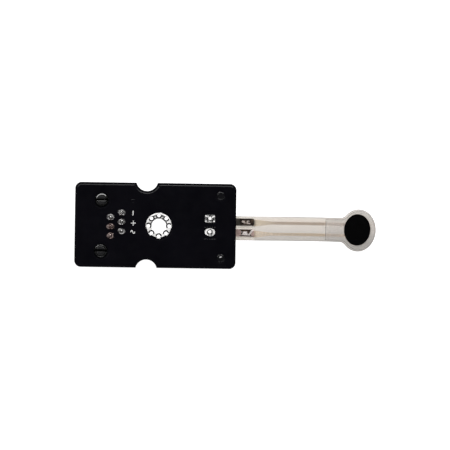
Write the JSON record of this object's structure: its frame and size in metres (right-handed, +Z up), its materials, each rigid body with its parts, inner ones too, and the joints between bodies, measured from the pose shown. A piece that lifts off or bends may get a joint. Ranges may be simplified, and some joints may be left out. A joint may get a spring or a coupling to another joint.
{
  "type": "film pressure sensor module",
  "caption": "Small black circuit board with a modular jack under it and a round-headed film pressure sensor on a flexible tail at one end.",
  "frame": {"origin": "middle of the whole object's footprint, on the surface that the jack's lower face stands on", "axes": "+X from the jack end to the film's round head, +Z up out of the board's solder side, +Y across the board"},
  "size_m": [0.0712, 0.02, 0.0161],
  "materials": {
    "solder_mask": "black solder mask, semi-gloss, with fine copper-pour relief",
    "tin_plating": "bright tin over copper",
    "jack_plastic": "black moulded thermoplastic, fine matte",
    "carrier_plastic": "dark grey moulded thermoplastic",
    "gold_wire": "gold-plated spring wire, polished",
    "solder": "bright solder, slightly uneven",
    "clear_film": "clear polyester film, glossy",
    "spacer_adhesive": "milky spacer adhesive",
    "printed_silver": "printed silver ink seen through film, satin",
    "carbon_ink": "black carbon ink",
    "terminal_plating": "tin-plated crimp terminal, darkened",
    "plug_resin": "glossy black resin",
    "resistor_body": "black glazed chip with tinned ends",
    "capacitor_body": "tan ceramic chip with tinned ends"
  },
  "bodies": {
    "board": {"circuit_board": "solder_mask", "mounting_hole_plating": "tin_plating", "jack_housing": "jack_plastic", "jack_contact_carrier": "carrier_plastic", "sensor_solder_square": "solder", "sensor_solder_round": "solder", "film_crimped_end": "clear_film", "sensor_terminal_upper": "terminal_plating", "sensor_terminal_lower": "terminal_plating", "board_plug_upper": "plug_resin", "board_plug_lower": "plug_resin", "divider_resistor": "resistor_body", "filter_capacitor": "capacitor_body", "jack_contact_1": "gold_wire", "jack_solder_1": "solder", "jack_contact_2": "gold_wire", "jack_solder_2": "solder", "jack_contact_3": "gold_wire", "jack_solder_3": "solder", "jack_contact_4": "gold_wire", "jack_solder_4": "solder", "jack_contact_5": "gold_wire", "jack_solder_5": "solder", "jack_contact_6": "gold_wire", "jack_solder_6": "solder"},
    "film_tail": {"film_base": "clear_film", "silver_trace_upper": "printed_silver", "silver_trace_lower": "printed_silver", "spacer_film": "spacer_adhesive", "cover_film": "clear_film"},
    "sensing_pad": {"carbon_disc": "carbon_ink"},
    "finger_1": {"contact_finger_1": "gold_wire"},
    "finger_2": {"contact_finger_2": "gold_wire"},
    "finger_3": {"contact_finger_3": "gold_wire"},
    "finger_4": {"contact_finger_4": "gold_wire"},
    "finger_5": {"contact_finger_5": "gold_wire"},
    "finger_6": {"contact_finger_6": "gold_wire"}
  },
  "joints": [
    {"name": "tail_flex", "type": "hinge", "parent": "board", "child": "film_tail", "pos_m": [0.00793, -0.00031, 0.01274], "axis": [0, 1, 0], "range_deg": [-35, 2], "stiffness_Nm_per_rad": 0.0025},
    {"name": "pad_press", "type": "slide", "parent": "film_tail", "child": "sensing_pad", "axis": [-0.5437, 0.0707, -0.8363], "range_m": [0, 0.00009], "stiffness_N_per_m": 1500},
    {"name": "finger_flex_1", "type": "hinge", "parent": "board", "child": "finger_1", "pos_m": [-0.03347, 0.00291, 0.0116], "axis": [0, -1, 0], "range_deg": [0, 10], "stiffness_Nm_per_rad": 0.02},
    {"name": "finger_flex_2", "type": "hinge", "parent": "board", "child": "finger_2", "pos_m": [-0.03347, 0.00181, 0.0116], "axis": [0, -1, 0], "range_deg": [0, 10], "stiffness_Nm_per_rad": 0.02},
    {"name": "finger_flex_3", "type": "hinge", "parent": "board", "child": "finger_3", "pos_m": [-0.03347, 0.00071, 0.0116], "axis": [0, -1, 0], "range_deg": [0, 10], "stiffness_Nm_per_rad": 0.02},
    {"name": "finger_flex_4", "type": "hinge", "parent": "board", "child": "finger_4", "pos_m": [-0.03347, -0.00039, 0.0116], "axis": [0, -1, 0], "range_deg": [0, 10], "stiffness_Nm_per_rad": 0.02},
    {"name": "finger_flex_5", "type": "hinge", "parent": "board", "child": "finger_5", "pos_m": [-0.03347, -0.00149, 0.0116], "axis": [0, -1, 0], "range_deg": [0, 10], "stiffness_Nm_per_rad": 0.02},
    {"name": "finger_flex_6", "type": "hinge", "parent": "board", "child": "finger_6", "pos_m": [-0.03347, -0.00259, 0.0116], "axis": [0, -1, 0], "range_deg": [0, 10], "stiffness_Nm_per_rad": 0.02}
  ]
}
